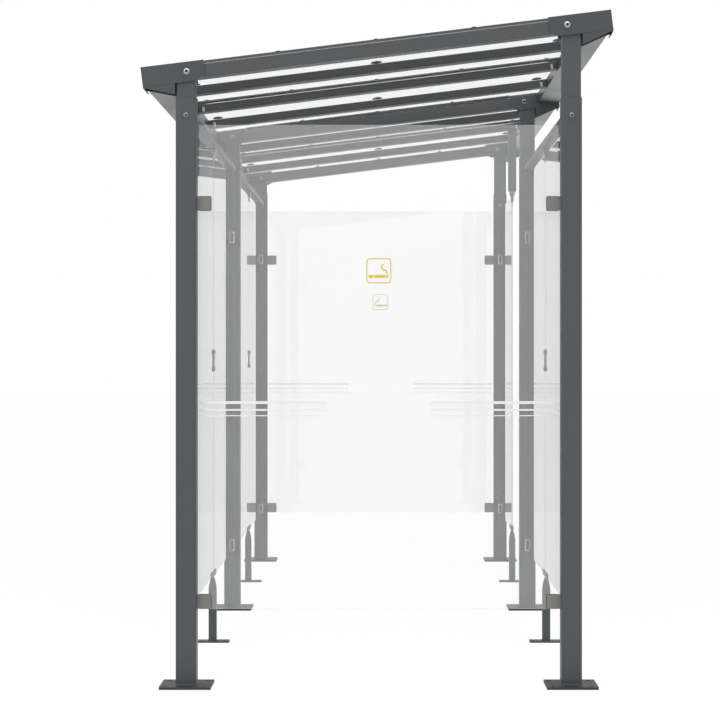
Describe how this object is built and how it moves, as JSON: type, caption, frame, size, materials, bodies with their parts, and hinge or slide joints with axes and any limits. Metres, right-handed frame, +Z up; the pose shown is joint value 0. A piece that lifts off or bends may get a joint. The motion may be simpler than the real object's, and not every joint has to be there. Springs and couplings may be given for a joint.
{
  "type": "smoking shelter",
  "caption": "Long open shelter: square posts on base plates carry a clear single-pitch roof with side gutters over clamped glass walls, and half a bay is left open as the doorway.",
  "frame": {"origin": "middle of the shelter's footprint on the ground", "axes": "+Z up, +Y along the shelter from the near gable to the far gable, +X across it towards the high side"},
  "size_m": [1.8384, 5.2, 2.6345],
  "materials": {
    "steel": "fine-textured satin powder coat, anthracite grey",
    "gutter": "satin powder coat on folded sheet, anthracite grey",
    "strip": "satin powder coat, anthracite grey",
    "fitting": "satin powder coat on cast fittings, grey",
    "pane": "clear toughened glass with polished edges",
    "roof_sheet": "clear polycarbonate sheet",
    "bolt": "bright zinc plating on bolts, nuts and washers",
    "rubber": "dull black rubber of the clamp liners and sealing washers",
    "film": "matt adhesive film of the safety marking"
  },
  "bodies": {
    "root": {"post_low_near": "steel", "post_low_mid": "steel", "post_low_far": "steel", "post_high_near": "steel", "post_high_mid": "steel", "post_high_far": "steel", "base_plates": "steel", "post_heads_low": "steel", "post_heads_high": "steel", "arms_low": "steel", "arms_high": "steel", "rafter_near": "steel", "rafter_mid": "steel", "rafter_far": "steel", "battens_near_bay": "steel", "battens_far_bay": "steel", "gutter_low_near": "gutter", "gutter_low_far": "gutter", "gutter_high_near": "gutter", "gutter_high_far": "gutter", "roof_sheet_1": "roof_sheet", "roof_sheet_2": "roof_sheet", "roof_sheet_3": "roof_sheet", "roof_sheet_4": "roof_sheet", "cover_strips": "strip", "gable_glass_near": "pane", "gable_glass_far": "pane", "glass_low_1": "pane", "glass_low_2": "pane", "glass_low_3": "pane", "glass_low_4": "pane", "glass_high_1": "pane", "glass_high_2": "pane", "glass_high_3": "pane", "rails_low": "steel", "rail_high": "steel", "drop_post": "steel", "pane_holders": "fitting", "gable_clamps_near": "fitting", "gable_clamps_far": "fitting", "side_clamps_low": "fitting", "side_clamps_high": "fitting", "feet_low": "steel", "feet_high": "steel", "joint_plates": "fitting"}
  },
  "joints": []
}
